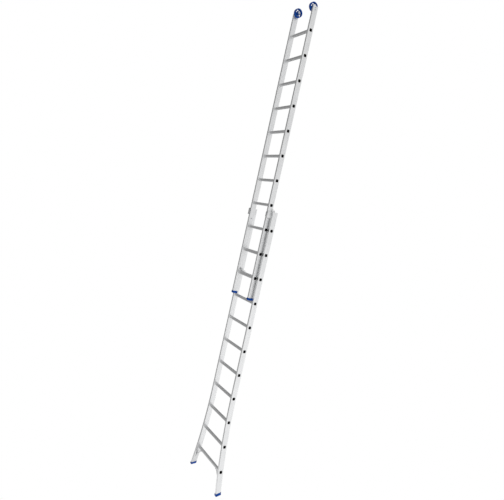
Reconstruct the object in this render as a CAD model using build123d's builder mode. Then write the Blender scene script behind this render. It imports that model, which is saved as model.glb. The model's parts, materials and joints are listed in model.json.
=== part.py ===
"""Two-section push-up extension ladder: hollow aluminium stiles and rungs, blue feet and wall wheels.

The upper section stands in front of the lower one and slides up between its guide brackets. It is
modelled extended, with three rungs of each section level. X runs across the ladder, Y from the
climber's side to the wall side, and Z up the stiles, from the floor under the feet.
"""

import os
from math import cos, radians, sin, sqrt, tan

from build123d import *

os.makedirs("parts", exist_ok=True)

SIDES = {"left": -1, "right": 1}

# Rungs
RUNG_PITCH = 280.0
RUNG_COUNT = 11
LEVEL_RUNGS = 3  # rungs of the two sections side by side when the ladder is extended
RUNG_SIZE = 29.0
RUNG_CORNER = 8.0
RUNG_WALL = 2.0
COLLAR_WIDTH = 3.5  # how far the pressed collars stand out round the rung
LIP = 1.5  # thickness of the collar outside a stile
BEAD = 2.5  # thickness of the collar inside a stile
TREAD_RIB_HEIGHT = 0.7
TREAD_RIB_WIDTH = 1.4
TREAD_RIB_COUNT = 5
TREAD_RIB_PITCH = 3.2
PLUG_DEPTH = 9.0
PLUG_GAP = 0.1
PLUG_FLANGE = 1.4  # thickness of the flange over the collar's outer face
PLUG_FLANGE_SIZE = 33.0
PLUG_FLANGE_CORNER = 10.0
TREAD_END_GAP = 2.0

# Stiles
STILE_DEPTH = 65.0
STILE_WIDTH = 25.0
STILE_WALL = 2.2
STILE_CORNER = 4.0
CAVITY_CORNER = 2.0
LOWER_WIDTH = 474.0
UPPER_WIDTH = 388.0
NEST = 48.0  # how far the lower section's rungs stand behind the upper section's
HOLE_GAP = 0.1

# Heights
FIRST_RUNG_Z = 261.0
LOWER_TOP_STUB = 212.0
UPPER_BOTTOM_STUB = 247.0
UPPER_TOP_STUB = 262.0
FLARE_TOP_Z = 1085.0
FLARE_RADIUS = 4850.0

# Feet and end caps
LEAN_ANGLE = 15.0  # of the ladder in use, from the upright; the soles slope to match
FOOT_HEIGHT = 30.0
FOOT_SOLE = 8.0
FOOT_PLUG_LENGTH = 40.0
FOOT_WALL = 3.0
FOOT_CORNER = 6.0
TOE_RADIUS = 12.0  # of the sole's front edge
HEEL_RADIUS = 8.0
FOOT_GROOVE_DEPTH = 2.0
FOOT_GROOVE_WIDTH = 3.0
FOOT_GROOVE_PITCH = 10.0
FOOT_GROOVE_COUNT = 5
CAP_HEIGHT = 27.0
CAP_SOLE = 10.0
CAP_WALL = 4.0
CAP_FRONT_RADIUS = 11.0
CAP_REAR_RADIUS = 9.0
CAP_PLUG_LENGTH = 40.0
CAP_GAP = 0.1

# Wall wheels, at the top of the upper section
WHEEL_RADIUS = 50.0
WHEEL_WIDTH = 34.0
WHEEL_RIM = 9.0
WHEEL_HUB_RADIUS = 17.0
WHEEL_WEB = 14.0
WHEEL_EDGE_RADIUS = 3.0
SPOKE_COUNT = 7
SPOKE_WIDTH = 7.0
AXLE_RISE = 268.0  # above the top rung
AXLE_RADIUS = 8.0
AXLE_THREAD_RADIUS = 6.0
AXLE_COLLAR_RADIUS = 13.0
BUSH_WALL = 3.0
BUSH_GAP = 0.02
RUNNING_GAP = 0.05
END_PLAY = 0.4
WHEEL_STANDOFF = 4.0
WASHER_THICKNESS = 2.0
AXLE_NUT_RADIUS = 10.0
AXLE_NUT_THICKNESS = 9.0
WHEEL_BRACKET_THICKNESS = 5.0
WHEEL_BRACKET_RADIUS = 20.0
WHEEL_BRACKET_RISE = 196.0
WHEEL_BOLT_RISES = (222.0, 246.0)

# Guide brackets, at the top of the lower section
GUIDE_THICKNESS = 4.0
GUIDE_HEIGHT = 75.0
GUIDE_LIP = 36.0
GUIDE_TAIL = 28.0  # behind the middle of the lower stile
GUIDE_BEND = 5.0
GUIDE_TAPER = 14.0
LUG_HEIGHT = 29.0  # of the lug above the lower stile's top
LUG_CREST = 12.0  # length of its level top edge
LUG_LENGTH = 60.0
LUG_CORNER = 8.0
LUG_HOLE_RADIUS = 6.0
LUG_HOLE_INSET = 12.0
PAD_FRONT = 3.0
PAD_GAP = 0.5
PAD_CHANNEL_DEPTH = 3.0
PAD_CHANNEL_WIDTH = 44.0
PAD_REAR_GAP = 1.5
GUIDE_RIVET_OFFSETS = (-18.0, 8.0)  # from the middle of the lower stile
GUIDE_RIVET_DROPS = (20.0, 55.0)

# Rung hooks, at the foot of the upper section
HOOK_THICKNESS = 8.0
HOOK_STANDOFF = 4.5
HOOK_PIVOT = (10.0, 46.0)  # behind and above the middle of the upper section's lowest rung
HOOK_BOSS_RADIUS = 13.0
HOOK_SEAT = 1.5
HOOK_FRONT_GAP = 1.0
HOOK_REAR_GAP = 2.0
HOOK_NOSE_DROP = 19.0
HOOK_NOSE_WIDTH = 9.0
HOOK_ARM = 14.0
HOOK_CORNER = 3.0
HOOK_PIVOT_RADIUS = 5.0
HOOK_FLANGE_RADIUS = 9.0
HOOK_HEAD_THICKNESS = 5.0

# Fasteners
BOLT_RADIUS = 4.0
BOLT_HEAD_RADIUS = 6.5
BOLT_HEAD_THICKNESS = 5.5
LOW_HEAD_THICKNESS = 2.5
NUT_RADIUS = 6.5
NUT_THICKNESS = 6.0
THREAD_END = 2.0  # length of thread that shows beyond a nut
RIVET_RADIUS = 2.4
RIVET_HEAD_RADIUS = 4.8
RIVET_HEAD_THICKNESS = 1.6
RIVET_TAIL_RADIUS = 3.4
RIVET_TAIL_LENGTH = 4.0
RIVET_TAIL_GAP = 1.0
STOP_BOLT_DROP = 45.0  # below the guide brackets, with the ladder extended

# Braces under the lowest rung
BRACE_THICKNESS = 4.0
BRACE_WIDTH = 22.0
BRACE_STILE_Z = 154.0
BRACE_REACH = 84.0
BRACE_TAB = 30.0
BRACE_BEND = 8.0
BRACE_GAP = 0.1

OVERRUN = 1.0  # how far a cutting shape passes the surface it cuts
HOLE_REACH = 150.0  # through a stile and past its flare

# Positions that follow from the dimensions
RUNG_HALF = RUNG_SIZE / 2
STILE_HALF = STILE_DEPTH / 2
UPPER_OUTER_X = UPPER_WIDTH / 2
UPPER_INNER_X = UPPER_OUTER_X - STILE_WIDTH
LOWER_OUTER_X = LOWER_WIDTH / 2
LOWER_INNER_X = LOWER_OUTER_X - STILE_WIDTH
FLARE_CENTRE_X = LOWER_OUTER_X + FLARE_RADIUS
# The wheels reach furthest forward and the feet furthest back; the origin is midway between them.
UPPER_Y = (WHEEL_RADIUS - NEST - STILE_HALF - FOOT_WALL) / 2
LOWER_Y = UPPER_Y + NEST
FOOT_FRONT_Y = LOWER_Y - STILE_HALF - FOOT_WALL
FOOT_DEPTH = STILE_DEPTH + 2 * FOOT_WALL
FOOT_RISE = FOOT_DEPTH * tan(radians(LEAN_ANGLE))  # of a sole from its front edge to its rear edge
# The rounded toe touches the floor; the slope, carried on to the front face, would end this much lower.
TOE_DROP = TOE_RADIUS * (tan(radians(LEAN_ANGLE)) + 1 / cos(radians(LEAN_ANGLE)) - 1)
LOWER_RUNGS_Z = [FIRST_RUNG_Z + RUNG_PITCH * i for i in range(RUNG_COUNT)]
UPPER_FIRST_Z = FIRST_RUNG_Z + RUNG_PITCH * (RUNG_COUNT - LEVEL_RUNGS)
UPPER_RUNGS_Z = [UPPER_FIRST_Z + RUNG_PITCH * i for i in range(RUNG_COUNT)]
LOWER_TOP_Z = LOWER_RUNGS_Z[-1] + LOWER_TOP_STUB
UPPER_BOTTOM_Z = UPPER_FIRST_Z - UPPER_BOTTOM_STUB
UPPER_TOP_RUNG_Z = UPPER_RUNGS_Z[-1]
UPPER_TOP_Z = UPPER_TOP_RUNG_Z + UPPER_TOP_STUB
AXLE_Z = UPPER_TOP_RUNG_Z + AXLE_RISE
GUIDE_LOW_Z = LOWER_TOP_Z - GUIDE_HEIGHT
STOP_Z = GUIDE_LOW_Z - STOP_BOLT_DROP
HOOK_Y = UPPER_Y + HOOK_PIVOT[0]
HOOK_Z = UPPER_FIRST_Z + HOOK_PIVOT[1]
BRACKET_INNER_X = UPPER_INNER_X - WHEEL_BRACKET_THICKNESS
WHEEL_OUTER_X = BRACKET_INNER_X - WHEEL_STANDOFF
WHEEL_INNER_X = WHEEL_OUTER_X - WHEEL_WIDTH


def finish(piece, name):
    """Label a finished piece and write its file."""
    piece.part.label = name
    export_step(piece.part, f"parts/{name}.step")


def wall_x(x, z):
    """Distance from the middle plane, at height z, of a line that is x out above the flare."""
    drop = max(FLARE_TOP_Z - z, 0)
    return FLARE_CENTRE_X - sqrt((FLARE_CENTRE_X - x) ** 2 - drop**2)


def floor_plane(height):
    """Plane with the slope of the floor under a leaning ladder, height above the soles."""
    tilt = radians(LEAN_ANGLE)
    front = (0, FOOT_FRONT_Y, height - TOE_DROP)
    return Plane(origin=front, x_dir=(1, 0, 0), z_dir=(0, -sin(tilt), cos(tilt)))


def side_profile(front, rear, low_front_z, low_rear_z, height, front_radius, rear_radius):
    """Side view of a moulding, seen along X, with its two bottom corners rounded."""
    with BuildSketch(Plane.YZ) as face:
        with BuildLine():
            Polyline(
                (front, low_front_z),
                (rear, low_rear_z),
                (rear, low_rear_z + height),
                (front, low_front_z + height),
                close=True,
            )
        make_face()
        fillet(vertices().sort_by_distance((front, low_front_z, 0))[0], front_radius)
        fillet(vertices().sort_by_distance((rear, low_rear_z, 0))[0], rear_radius)
    return face.sketch


def stile_edge(side, x, z_low, z_high):
    """Line down a stile's side, straight and then bent out along the flare."""
    bend_z = max(min(z_high, FLARE_TOP_Z), z_low)
    if z_high > bend_z:
        Line((side * x, z_high), (side * x, bend_z))
    if z_low < bend_z:
        z_mid = (bend_z + z_low) / 2
        ThreePointArc(*((side * wall_x(x, z), z) for z in (bend_z, z_mid, z_low)))
    return side * wall_x(x, z_high), side * wall_x(x, z_low)


def band_face(y_mid, start, end, z_low, z_high):
    """Face across the ladder between two lines that follow the stiles; each line is (side, x)."""
    with BuildSketch(Plane.XZ.offset(-y_mid)) as face:
        with BuildLine():
            start_top, start_low = stile_edge(*start, z_low, z_high)
            end_top, end_low = stile_edge(*end, z_low, z_high)
            Line((start_top, z_high), (end_top, z_high))
            Line((start_low, z_low), (end_low, z_low))
        make_face()
    return face.sketch


def square_face(x, y, z, size, corner):
    """Rounded square seen along X, centred on y and z."""
    with BuildSketch(Plane.YZ.offset(x)) as face:
        with Locations((y, z)):
            RectangleRounded(size, size, corner)
    return face.sketch


def long_edges(piece, y_mid, depth):
    """The edges that run up a stile-shaped solid, on its front and back faces."""
    span = piece.part.bounding_box().size.Z
    edges = piece.edges().filter_by(lambda e: abs(abs(e.center().Y - y_mid) - depth / 2) < 0.01)
    return edges.filter_by(lambda e: e.bounding_box().size.Z > 0.1 * span)


def make_stile(name, side, inner_x, y_mid, z_low, z_high, low_end, rungs_z, bores):
    """Hollow stile cut off at low_end, holed for its rungs; a bore is (y, z, radius, both walls)."""
    outer_x = inner_x + STILE_WIDTH
    body = band_face(y_mid, (side, inner_x), (side, outer_x), z_low, z_high)
    cavity_walls = (side, inner_x + STILE_WALL), (side, outer_x - STILE_WALL)
    cavity = band_face(y_mid, *cavity_walls, z_low - OVERRUN, z_high + OVERRUN)
    cavity_depth = STILE_DEPTH - 2 * STILE_WALL
    hole = RUNG_SIZE + 2 * HOLE_GAP
    with BuildPart() as core:
        extrude(cavity, amount=cavity_depth / 2, both=True)
        fillet(long_edges(core, y_mid, cavity_depth), CAVITY_CORNER)
    with BuildPart() as stile:
        extrude(body, amount=STILE_DEPTH / 2, both=True)
        fillet(long_edges(stile, y_mid, STILE_DEPTH), STILE_CORNER)
        add(core.part, mode=Mode.SUBTRACT)
        split(bisect_by=low_end, keep=Keep.TOP)
        with BuildSketch(Plane.YZ.offset(side * (inner_x - OVERRUN))):
            with Locations([(y_mid, z) for z in rungs_z]):
                RectangleRounded(hole, hole, RUNG_CORNER + HOLE_GAP)
        extrude(amount=side * HOLE_REACH, mode=Mode.SUBTRACT)
        for y, z, radius, through in bores:
            reach = 2 * OVERRUN + (STILE_WIDTH if through else STILE_WALL)
            with BuildSketch(Plane.YZ.offset(side * (wall_x(inner_x, z) - OVERRUN))):
                with Locations((y, z)):
                    Circle(radius)
            extrude(amount=side * reach, mode=Mode.SUBTRACT)
    finish(stile, name)


def make_rung(name, inner_x, y, z, rivet_offsets):
    """Rung tube with tread ribs, pressed into collars on both faces of both stiles."""
    outer_x = inner_x + STILE_WIDTH
    end_x = outer_x + LIP
    z_low = z - RUNG_SIZE
    z_high = z + RUNG_SIZE
    reach = wall_x(end_x, z_low)
    collar_size = RUNG_SIZE + 2 * COLLAR_WIDTH
    span = band_face(y, (-1, end_x), (1, end_x), z_low, z_high)
    with BuildPart() as collars:
        for side in SIDES.values():
            lip = band_face(y, (side, outer_x), (side, end_x), z_low, z_high)
            bead = band_face(y, (side, inner_x - BEAD), (side, inner_x), z_low, z_high)
            extrude(lip, amount=RUNG_SIZE, both=True)
            extrude(bead, amount=RUNG_SIZE, both=True)
        outline = square_face(0, y, z, collar_size, RUNG_CORNER + COLLAR_WIDTH)
        extrude(outline, amount=reach + OVERRUN, both=True, mode=Mode.INTERSECT)
    with BuildPart() as rung:
        extrude(square_face(0, y, z, RUNG_SIZE, RUNG_CORNER), amount=reach + OVERRUN, both=True)
        extrude(span, amount=RUNG_SIZE, both=True, mode=Mode.INTERSECT)
        add(collars.part)
        rib_spread = RUNG_SIZE + TREAD_RIB_HEIGHT
        with BuildSketch(Plane.YZ):
            with Locations((y, z)):
                with GridLocations(TREAD_RIB_PITCH, rib_spread, TREAD_RIB_COUNT, 2):
                    Rectangle(TREAD_RIB_WIDTH, TREAD_RIB_HEIGHT)
        extrude(amount=wall_x(inner_x, z_high) - BEAD - TREAD_END_GAP, both=True)
        bore = square_face(0, y, z, RUNG_SIZE - 2 * RUNG_WALL, RUNG_CORNER - RUNG_WALL)
        extrude(bore, amount=reach + OVERRUN, both=True, mode=Mode.SUBTRACT)
        for x in rivet_offsets:
            with BuildSketch(Plane.XY.offset(z - RUNG_SIZE)):
                with Locations((x, y)):
                    Circle(RIVET_RADIUS + RUNNING_GAP)
            extrude(amount=RUNG_SIZE, mode=Mode.SUBTRACT)
    finish(rung, name)


def rung_plug(side, end_x, y, z):
    """Flanged plug in one rung end, cut to the slope of the stile."""
    size = RUNG_SIZE - 2 * (RUNG_WALL + PLUG_GAP)
    z_low = z - RUNG_SIZE
    z_high = z + RUNG_SIZE
    flange_x = end_x + PLUG_GAP
    face_x = flange_x + PLUG_FLANGE
    reach = wall_x(face_x, z_low) + OVERRUN
    shank = band_face(y, (side, end_x - PLUG_DEPTH), (side, face_x), z_low, z_high)
    flange = band_face(y, (side, flange_x), (side, face_x), z_low, z_high)
    with BuildPart() as cover:
        extrude(flange, amount=RUNG_SIZE, both=True)
        outline = square_face(0, y, z, PLUG_FLANGE_SIZE, PLUG_FLANGE_CORNER)
        extrude(outline, amount=reach, both=True, mode=Mode.INTERSECT)
    with BuildPart() as plug:
        extrude(shank, amount=RUNG_SIZE, both=True)
        outline = square_face(0, y, z, size, RUNG_CORNER - RUNG_WALL - PLUG_GAP)
        extrude(outline, amount=reach, both=True, mode=Mode.INTERSECT)
        add(cover.part)
    return plug.part


def make_rung_plugs(name, inner_x, y, rungs_z):
    """End plugs of one section's rungs, each with a flange over its collar's outer face."""
    end_x = inner_x + STILE_WIDTH + LIP
    solids = [rung_plug(side, end_x, y, z) for z in rungs_z for side in SIDES.values()]
    with BuildPart() as plugs:
        add(solids)
    finish(plugs, name)


def make_foot(name, side):
    """Plastic shoe on a lower stile: a sloping grooved sole, a skirt outside and a plug inside."""
    skirt = (side, LOWER_INNER_X - FOOT_WALL), (side, LOWER_OUTER_X + FOOT_WALL)
    pocket = (side, LOWER_INNER_X - CAP_GAP), (side, LOWER_OUTER_X + CAP_GAP)
    inset = STILE_WALL + 2 * CAP_GAP
    core = (side, LOWER_INNER_X + inset), (side, LOWER_OUTER_X - inset)
    top_z = FOOT_HEIGHT + FOOT_RISE
    sole_x = side * (wall_x(LOWER_INNER_X, FOOT_RISE / 2) + STILE_WIDTH / 2)
    sole_middle = FOOT_DEPTH / (2 * cos(radians(LEAN_ANGLE)))
    ends = FOOT_FRONT_Y, FOOT_FRONT_Y + FOOT_DEPTH, -TOE_DROP, FOOT_RISE - TOE_DROP
    profile = side_profile(*ends, FOOT_HEIGHT, TOE_RADIUS, HEEL_RADIUS)
    with BuildPart() as hollow:
        space = band_face(LOWER_Y, *pocket, 0, top_z + OVERRUN)
        extrude(space, amount=STILE_HALF + CAP_GAP, both=True)
        split(bisect_by=floor_plane(FOOT_SOLE), keep=Keep.TOP)
    with BuildPart() as plug:
        stem = band_face(LOWER_Y, *core, 0, FOOT_SOLE + FOOT_PLUG_LENGTH)
        extrude(stem, amount=STILE_HALF - inset - CAVITY_CORNER, both=True)
        split(bisect_by=floor_plane(FOOT_SOLE / 2), keep=Keep.TOP)
    with BuildPart() as foot:
        extrude(band_face(LOWER_Y, *skirt, 0, top_z), amount=FOOT_DEPTH / 2, both=True)
        fillet(long_edges(foot, LOWER_Y, FOOT_DEPTH), FOOT_CORNER)
        extrude(profile, amount=LOWER_WIDTH, both=True, mode=Mode.INTERSECT)
        add(hollow.part, mode=Mode.SUBTRACT)
        add(plug.part)
        with BuildSketch(floor_plane(0)):
            with Locations((sole_x, sole_middle)):
                with GridLocations(1, FOOT_GROOVE_PITCH, 1, FOOT_GROOVE_COUNT):
                    Rectangle(3 * STILE_WIDTH, FOOT_GROOVE_WIDTH)
        extrude(amount=FOOT_GROOVE_DEPTH, mode=Mode.SUBTRACT)
    finish(foot, name)


def make_end_cap(name, side):
    """Plastic cap under an upper stile, flush at the back where it passes the lower rungs."""
    low_z = UPPER_BOTTOM_Z - CAP_SOLE
    middle_x = side * (UPPER_INNER_X + STILE_WIDTH / 2)
    inset = STILE_WALL + 2 * CAP_GAP
    ends = UPPER_Y - STILE_HALF - CAP_WALL, UPPER_Y + STILE_HALF, low_z, low_z
    profile = side_profile(*ends, CAP_HEIGHT, CAP_FRONT_RADIUS, CAP_REAR_RADIUS)
    with BuildPart() as cap:
        with BuildSketch(Plane.XY.offset(low_z)):
            with Locations((middle_x, UPPER_Y - CAP_WALL / 2)):
                RectangleRounded(STILE_WIDTH + 2 * CAP_WALL, STILE_DEPTH + CAP_WALL, STILE_CORNER)
        extrude(amount=CAP_HEIGHT)
        extrude(profile, amount=UPPER_WIDTH, both=True, mode=Mode.INTERSECT)
        with BuildSketch(Plane.XY.offset(UPPER_BOTTOM_Z)):
            with Locations((middle_x, UPPER_Y)):
                Rectangle(STILE_WIDTH + 2 * CAP_GAP, STILE_DEPTH + 2 * CAP_GAP)
        extrude(amount=CAP_HEIGHT, mode=Mode.SUBTRACT)
        with BuildSketch(Plane.XY.offset(UPPER_BOTTOM_Z - OVERRUN)):
            with Locations((middle_x, UPPER_Y)):
                RectangleRounded(STILE_WIDTH - 2 * inset, STILE_DEPTH - 2 * inset, CAVITY_CORNER)
        extrude(amount=CAP_PLUG_LENGTH)
    finish(cap, name)


def disc(x, y, z, radius, flats=0):
    """Circle, or hexagon that fits in it, seen along X."""
    with BuildSketch(Plane.YZ.offset(x)) as face:
        with Locations((y, z)):
            if flats:
                RegularPolygon(radius, flats)
            else:
                Circle(radius)
    return face.sketch


def pin(side, x_from, x_to, y, z, radius, flats=0, mode=Mode.ADD):
    """Round or six-sided length of a fastener along X, in the part that is being built."""
    face = disc(side * x_from, y, z, radius, flats)
    extrude(face, amount=side * (x_to - x_from), mode=mode)


def make_wheel(name, side):
    """Spoked wall wheel with a broad rim."""
    hub_bore = AXLE_RADIUS + RUNNING_GAP + BUSH_WALL + BUSH_GAP
    spoke_reach = WHEEL_RADIUS - WHEEL_RIM / 2
    middle_x = side * (WHEEL_INNER_X + WHEEL_WIDTH / 2)
    through = WHEEL_INNER_X - OVERRUN, WHEEL_OUTER_X + OVERRUN
    with BuildPart() as wheel:
        pin(side, WHEEL_INNER_X, WHEEL_OUTER_X, UPPER_Y, AXLE_Z, WHEEL_RADIUS)
        fillet(wheel.edges(), WHEEL_EDGE_RADIUS)
        pin(side, *through, UPPER_Y, AXLE_Z, WHEEL_RADIUS - WHEEL_RIM, mode=Mode.SUBTRACT)
        pin(side, WHEEL_INNER_X, WHEEL_OUTER_X, UPPER_Y, AXLE_Z, WHEEL_HUB_RADIUS)
        with BuildSketch(Plane.YZ.offset(middle_x)):
            with Locations((UPPER_Y, AXLE_Z)):
                with PolarLocations(0, SPOKE_COUNT, start_angle=90):
                    Rectangle(spoke_reach, SPOKE_WIDTH, align=(Align.MIN, Align.CENTER))
        extrude(amount=WHEEL_WEB / 2, both=True)
        pin(side, *through, UPPER_Y, AXLE_Z, hub_bore, mode=Mode.SUBTRACT)
    finish(wheel, name)


def make_bush(name, side):
    """Plain bearing bush in a wheel's hub."""
    bore = AXLE_RADIUS + RUNNING_GAP
    with BuildPart() as bush:
        pin(side, WHEEL_INNER_X, WHEEL_OUTER_X, UPPER_Y, AXLE_Z, bore + BUSH_WALL)
        through = WHEEL_INNER_X - OVERRUN, WHEEL_OUTER_X + OVERRUN
        pin(side, *through, UPPER_Y, AXLE_Z, bore, mode=Mode.SUBTRACT)
    finish(bush, name)


def make_axle(name, side):
    """Wheel axle riveted flush into its bracket, with a collar and a threaded end."""
    thrust_x = WHEEL_INNER_X - END_PLAY
    nut_x = thrust_x - WASHER_THICKNESS
    with BuildPart() as axle:
        pin(side, nut_x, UPPER_INNER_X, UPPER_Y, AXLE_Z, AXLE_RADIUS)
        pin(side, WHEEL_OUTER_X + END_PLAY, BRACKET_INNER_X, UPPER_Y, AXLE_Z, AXLE_COLLAR_RADIUS)
        end_x = nut_x - AXLE_NUT_THICKNESS - THREAD_END
        pin(side, end_x, nut_x, UPPER_Y, AXLE_Z, AXLE_THREAD_RADIUS)
    finish(axle, name)


def make_axle_washers():
    """Washers between the wheels and their nuts."""
    outer_x = WHEEL_INNER_X - END_PLAY
    inner_x = outer_x - WASHER_THICKNESS
    through = inner_x - OVERRUN, outer_x + OVERRUN
    bore = AXLE_RADIUS + RUNNING_GAP
    with BuildPart() as washers:
        for side in SIDES.values():
            pin(side, inner_x, outer_x, UPPER_Y, AXLE_Z, AXLE_COLLAR_RADIUS)
            pin(side, *through, UPPER_Y, AXLE_Z, bore, mode=Mode.SUBTRACT)
    finish(washers, "axle_washers")


def make_axle_nuts():
    """Nuts on the axles' threaded ends."""
    outer_x = WHEEL_INNER_X - END_PLAY - WASHER_THICKNESS
    inner_x = outer_x - AXLE_NUT_THICKNESS
    through = inner_x - OVERRUN, outer_x + OVERRUN
    bore = AXLE_THREAD_RADIUS + RUNNING_GAP
    with BuildPart() as nuts:
        for side in SIDES.values():
            pin(side, inner_x, outer_x, UPPER_Y, AXLE_Z, AXLE_NUT_RADIUS, 6)
            pin(side, *through, UPPER_Y, AXLE_Z, bore, mode=Mode.SUBTRACT)
    finish(nuts, "axle_nuts")


def make_wheel_bracket(name, side):
    """Plate inside an upper stile's top end that carries the axle."""
    low_z = UPPER_TOP_RUNG_Z + WHEEL_BRACKET_RISE
    with BuildPart() as bracket:
        with BuildSketch(Plane.YZ.offset(side * BRACKET_INNER_X)):
            with Locations((UPPER_Y, low_z)):
                across_and_up = (Align.CENTER, Align.MIN)
                Rectangle(2 * WHEEL_BRACKET_RADIUS, AXLE_Z - low_z, align=across_and_up)
            fillet(vertices().group_by(Axis.Y)[0], STILE_CORNER)
            with Locations((UPPER_Y, AXLE_Z)):
                Circle(WHEEL_BRACKET_RADIUS)
                Circle(AXLE_RADIUS + RUNNING_GAP, mode=Mode.SUBTRACT)
            with Locations([(UPPER_Y, UPPER_TOP_RUNG_Z + rise) for rise in WHEEL_BOLT_RISES]):
                Circle(BOLT_RADIUS + RUNNING_GAP, mode=Mode.SUBTRACT)
        extrude(amount=side * WHEEL_BRACKET_THICKNESS)
    finish(bracket, name)


def make_bolts(name, head_x, tip_x, spots, head_thickness, flats):
    """Bolts through the upper stiles; a head on the inside has head_x less than tip_x."""
    outward = 1 if tip_x > head_x else -1
    with BuildPart() as bolts:
        for side in SIDES.values():
            for y, z in spots:
                head_end_x = head_x - outward * head_thickness
                pin(side, head_end_x, head_x, y, z, BOLT_HEAD_RADIUS, flats)
                pin(side, head_x, tip_x, y, z, BOLT_RADIUS)
    finish(bolts, name)


def make_nuts(name, inner_x, outer_x, spots):
    """Nuts on the bolts through the upper stiles."""
    through = inner_x - OVERRUN, outer_x + OVERRUN
    bore = BOLT_RADIUS + RUNNING_GAP
    with BuildPart() as nuts:
        for side in SIDES.values():
            for y, z in spots:
                pin(side, inner_x, outer_x, y, z, NUT_RADIUS, 6)
                pin(side, *through, y, z, bore, mode=Mode.SUBTRACT)
    finish(nuts, name)


def make_guide_bracket(name, side):
    """Bent plate on a lower stile that wraps round the upper stile, with a holed lug at its top."""
    front_y = UPPER_Y - STILE_HALF - PAD_GAP - PAD_FRONT - GUIDE_THICKNESS
    rear_y = LOWER_Y + GUIDE_TAIL
    lip_x = LOWER_INNER_X - GUIDE_LIP
    inner_x = LOWER_INNER_X - GUIDE_THICKNESS
    through = inner_x - OVERRUN, LOWER_INNER_X + OVERRUN
    bore = RIVET_RADIUS + RUNNING_GAP
    lug_y = LOWER_Y - STILE_HALF
    lug_z = LOWER_TOP_Z + LUG_HEIGHT
    with BuildPart() as bracket:
        with BuildSketch(Plane.XY.offset(GUIDE_LOW_Z)):
            with BuildLine():
                Polyline(
                    (side * inner_x, rear_y),
                    (side * LOWER_INNER_X, rear_y),
                    (side * LOWER_INNER_X, front_y),
                    (side * lip_x, front_y),
                    (side * lip_x, front_y + GUIDE_THICKNESS),
                    (side * inner_x, front_y + GUIDE_THICKNESS),
                    close=True,
                )
            make_face()
            corner = vertices().sort_by_distance((side * LOWER_INNER_X, front_y, GUIDE_LOW_Z))[0]
            fillet(corner, GUIDE_BEND)
        extrude(amount=GUIDE_HEIGHT)
        free_edge = bracket.faces().sort_by(Axis.X)[-1 if side < 0 else 0]
        chamfer(free_edge.edges().filter_by(Axis.Y), GUIDE_TAPER)
        for offset in GUIDE_RIVET_OFFSETS:
            for drop in GUIDE_RIVET_DROPS:
                y, z = LOWER_Y + offset, LOWER_TOP_Z - drop
                pin(side, *through, y, z, bore, mode=Mode.SUBTRACT)
        with BuildSketch(Plane.YZ.offset(side * inner_x)):
            with BuildLine():
                Polyline(
                    (lug_y, LOWER_TOP_Z - OVERRUN),
                    (lug_y, lug_z),
                    (lug_y + LUG_CREST, lug_z),
                    (lug_y + LUG_LENGTH, LOWER_TOP_Z - OVERRUN),
                    close=True,
                )
            make_face()
            fillet(vertices().group_by(Axis.Y)[0].sort_by(Axis.Z)[-1], LUG_CORNER)
            with Locations((lug_y + LUG_HOLE_INSET, lug_z - LUG_HOLE_INSET)):
                Circle(LUG_HOLE_RADIUS, mode=Mode.SUBTRACT)
        extrude(amount=side * GUIDE_THICKNESS)
    finish(bracket, name)


def make_guide_pad(name, side):
    """Plastic liner between a guide bracket and the upper stile, channelled for the rung ends."""
    plate_x = LOWER_INNER_X - GUIDE_THICKNESS
    face_x = UPPER_OUTER_X + PAD_GAP
    front_y = UPPER_Y - STILE_HALF - PAD_GAP - PAD_FRONT
    rear_y = LOWER_Y - STILE_HALF - PAD_REAR_GAP
    lip_x = LOWER_INNER_X - GUIDE_LIP
    channel = PAD_CHANNEL_WIDTH / 2
    with BuildPart() as pad:
        with BuildSketch(Plane.XY.offset(GUIDE_LOW_Z)):
            with BuildLine():
                Polyline(
                    (side * plate_x, front_y),
                    (side * lip_x, front_y),
                    (side * lip_x, front_y + PAD_FRONT),
                    (side * face_x, front_y + PAD_FRONT),
                    (side * face_x, UPPER_Y - channel),
                    (side * (face_x + PAD_CHANNEL_DEPTH), UPPER_Y - channel),
                    (side * (face_x + PAD_CHANNEL_DEPTH), rear_y),
                    (side * plate_x, rear_y),
                    close=True,
                )
            make_face()
        extrude(amount=GUIDE_HEIGHT)
        free_edge = pad.faces().sort_by(Axis.X)[-1 if side < 0 else 0]
        chamfer(free_edge.edges().filter_by(Axis.Y), GUIDE_TAPER)
    finish(pad, name)


def make_guide_rivets():
    """Blind rivets that hold the guide brackets on the lower stiles' inner walls."""
    plate_x = LOWER_INNER_X - GUIDE_THICKNESS
    tail_x = LOWER_INNER_X + STILE_WALL
    with BuildPart() as rivets:
        for side in SIDES.values():
            for offset in GUIDE_RIVET_OFFSETS:
                for drop in GUIDE_RIVET_DROPS:
                    y, z = LOWER_Y + offset, LOWER_TOP_Z - drop
                    pin(side, plate_x - RIVET_HEAD_THICKNESS, plate_x, y, z, RIVET_HEAD_RADIUS)
                    pin(side, plate_x, tail_x, y, z, RIVET_RADIUS)
                    pin(side, tail_x, tail_x + RIVET_TAIL_LENGTH, y, z, RIVET_TAIL_RADIUS)
    finish(rivets, "guide_rivets")


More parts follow.
